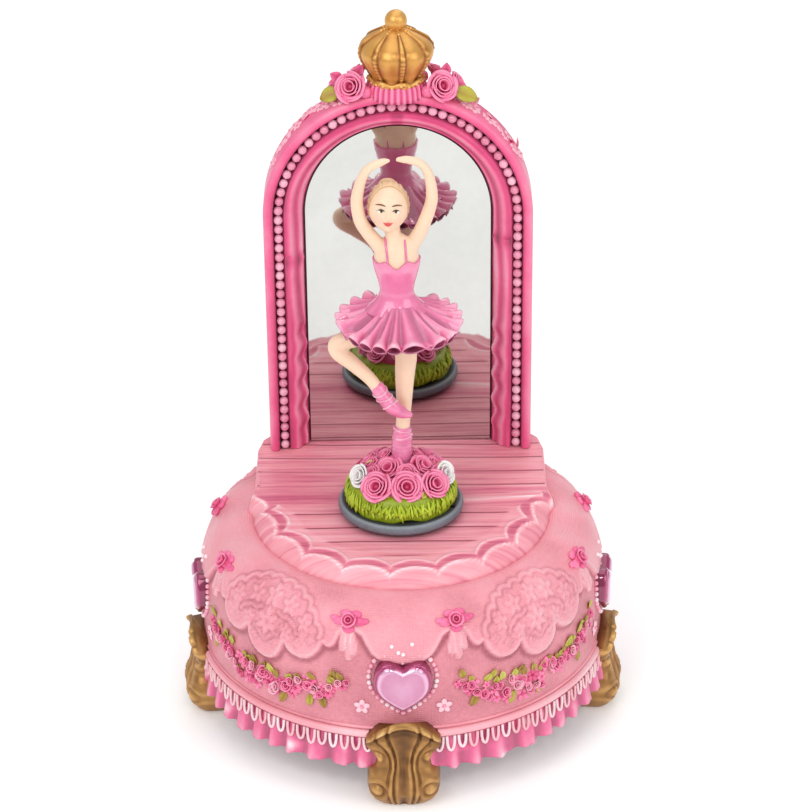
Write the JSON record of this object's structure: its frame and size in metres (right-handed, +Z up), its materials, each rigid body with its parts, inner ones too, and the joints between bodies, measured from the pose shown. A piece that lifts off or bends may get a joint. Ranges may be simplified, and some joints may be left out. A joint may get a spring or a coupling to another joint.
{
  "type": "wind-up music box",
  "caption": "Wind-up music box: a ballerina turns on a stage in front of an arched mirror, above a domed base on cast feet that holds the clockwork musical movement.",
  "frame": {"origin": "on the table under the centre of the domed base, in the plane the feet rest on", "axes": "+Z up to the crown, -Y to the front that the ballerina and the mirror face, +X to the right seen from the front"},
  "size_m": [0.1334, 0.132, 0.205],
  "materials": {
    "pink_resin": "satin",
    "rose_resin": "satin",
    "gold_paint": "metallic paint",
    "gem": "polished",
    "mirror": "polished",
    "skin": "satin",
    "dress": "gloss",
    "grass": "satin",
    "turntable": "satin",
    "black_plastic": "matt",
    "zinc": "as cast",
    "steel": "bright",
    "brass": "polished"
  },
  "bodies": {
    "case": {"base_shell": "pink_resin", "mirror_frame": "rose_resin", "rose_spray_left": "rose_resin", "rose_spray_right": "rose_resin", "foot_front": "gold_paint", "foot_right": "gold_paint", "foot_back": "gold_paint", "foot_left": "gold_paint", "crown_finial": "gold_paint", "heart_gem_front": "gem", "heart_gem_right": "gem", "heart_gem_back": "gem", "heart_gem_left": "gem", "mirror_glass": "mirror", "bottom_plate": "black_plastic", "movement_bedplate": "zinc", "cylinder_bracket_inner": "zinc", "cylinder_bracket_outer": "zinc", "governor_bracket": "zinc", "base_screw_1": "steel", "base_screw_2": "steel", "base_screw_3": "steel", "base_screw_4": "steel", "movement_screw_1": "steel", "movement_screw_2": "steel", "movement_screw_3": "steel", "music_comb": "steel", "comb_screw_1": "steel", "comb_screw_2": "steel", "clutch_spring": "steel", "spindle_bush": "brass"},
    "turntable": {"turntable_disc": "turntable", "grass_mound": "grass", "rose_bouquet": "rose_resin", "ballerina": "skin", "tutu": "dress", "output_spindle": "steel", "spring_barrel": "brass", "mainspring": "steel"},
    "cylinder": {"music_cylinder": "brass", "cylinder_arbor": "steel", "cylinder_pinion": "steel", "cylinder_gear": "brass"},
    "governor_wheel": {"governor_pinion": "steel", "worm_wheel": "brass"},
    "governor_fan": {"governor_worm": "steel", "air_brake_fan": "brass"},
    "key": {"winding_arbor": "steel", "winding_key": "brass"}
  },
  "joints": [
    {"name": "turntable_spin", "type": "hinge", "parent": "case", "child": "turntable", "pos_m": [0, -0.006, 0], "axis": [0, 0, 1], "continuous": true},
    {"name": "cylinder_spin", "type": "hinge", "parent": "case", "child": "cylinder", "pos_m": [0, 0, 0.0304], "axis": [0, 1, 0], "continuous": true},
    {"name": "governor_wheel_spin", "type": "hinge", "parent": "case", "child": "governor_wheel", "pos_m": [0.00875, 0, 0.0304], "axis": [0, 1, 0], "continuous": true},
    {"name": "governor_fan_spin", "type": "hinge", "parent": "case", "child": "governor_fan", "pos_m": [0.01515, 0.03695, 0], "axis": [0, 0, 1], "continuous": true},
    {"name": "key_wind", "type": "hinge", "parent": "case", "child": "key", "pos_m": [0, -0.006, 0], "axis": [0, 0, 1], "range_deg": [0, 1260]}
  ],
  "couplings": [
    {"joint": "cylinder_spin", "follows": "turntable_spin", "ratio": 4},
    {"joint": "governor_wheel_spin", "follows": "turntable_spin", "ratio": -16},
    {"joint": "governor_fan_spin", "follows": "turntable_spin", "ratio": -384}
  ]
}
